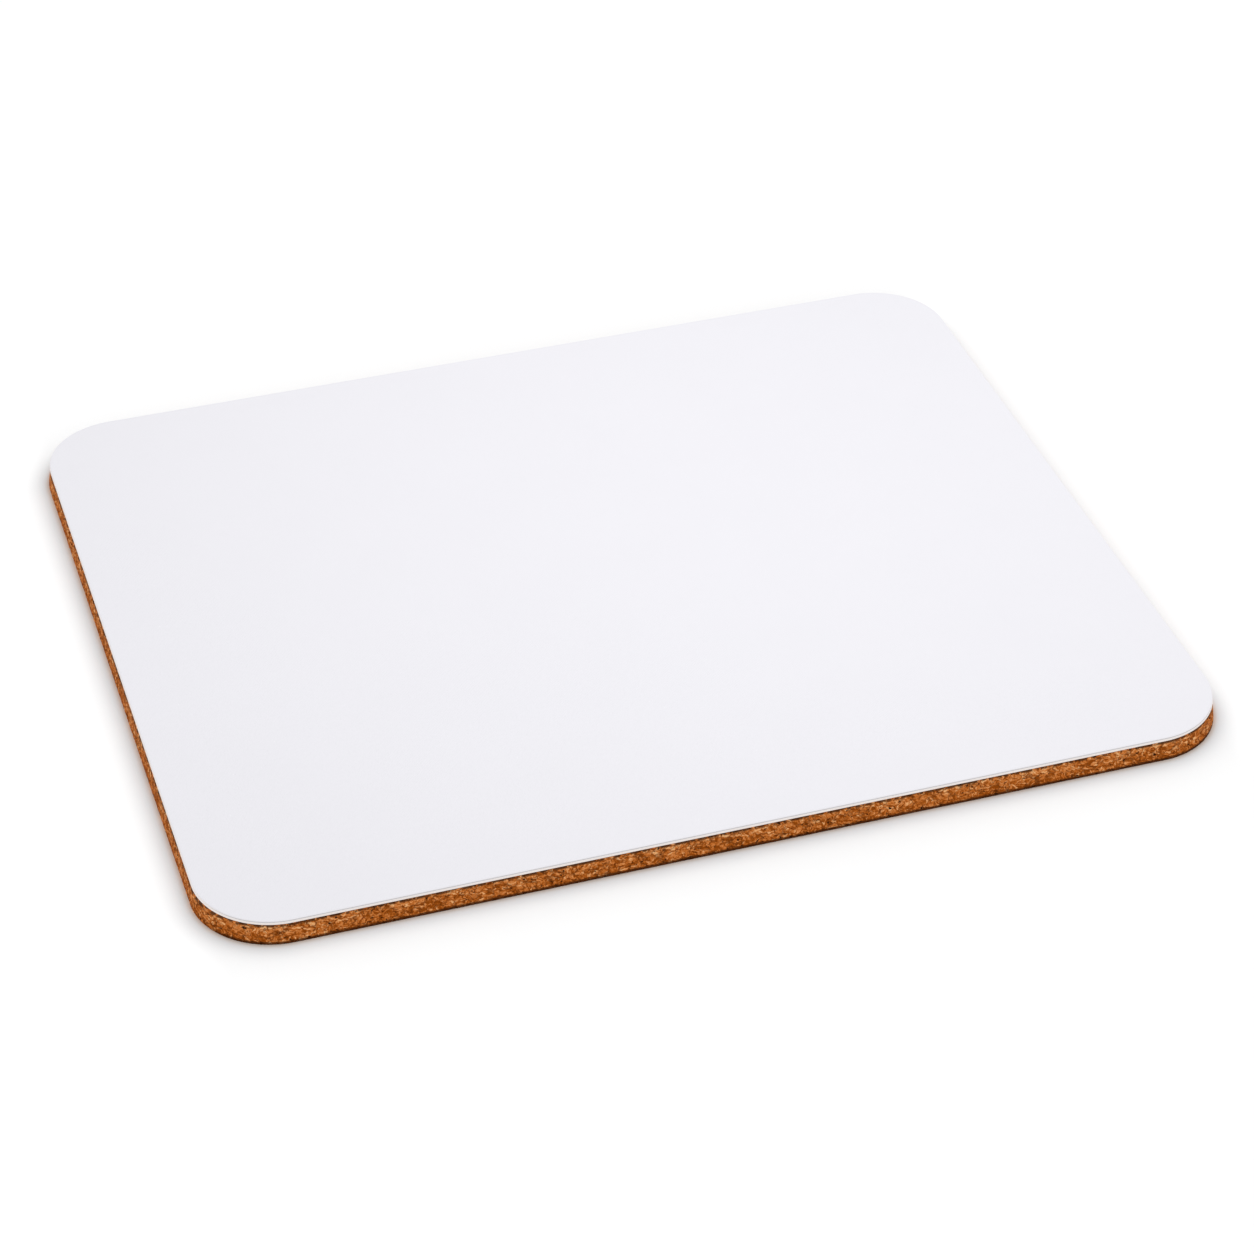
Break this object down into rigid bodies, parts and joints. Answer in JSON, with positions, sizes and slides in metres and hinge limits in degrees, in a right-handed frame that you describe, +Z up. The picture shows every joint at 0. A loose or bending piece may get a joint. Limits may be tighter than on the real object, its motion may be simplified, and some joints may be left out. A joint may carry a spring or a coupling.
{
  "type": "mouse pad",
  "caption": "Flat rounded rectangular mouse pad: white cloth working surface bonded by a glue film to a pressed cork base that grips the desk.",
  "frame": {"origin": "middle of the cork underside, on the desk", "axes": "+X along the long side, +Y along the short side, +Z up out of the working surface"},
  "size_m": [0.2412, 0.2032, 0.006],
  "materials": {
    "cork": null,
    "glue": "dried contact glue, seen only as a dark line between the layers",
    "cloth": "smooth white woven polyester, blank"
  },
  "bodies": {
    "root": {"cork_base": "cork", "glue_film": "glue", "cloth_top": "cloth"}
  },
  "joints": []
}
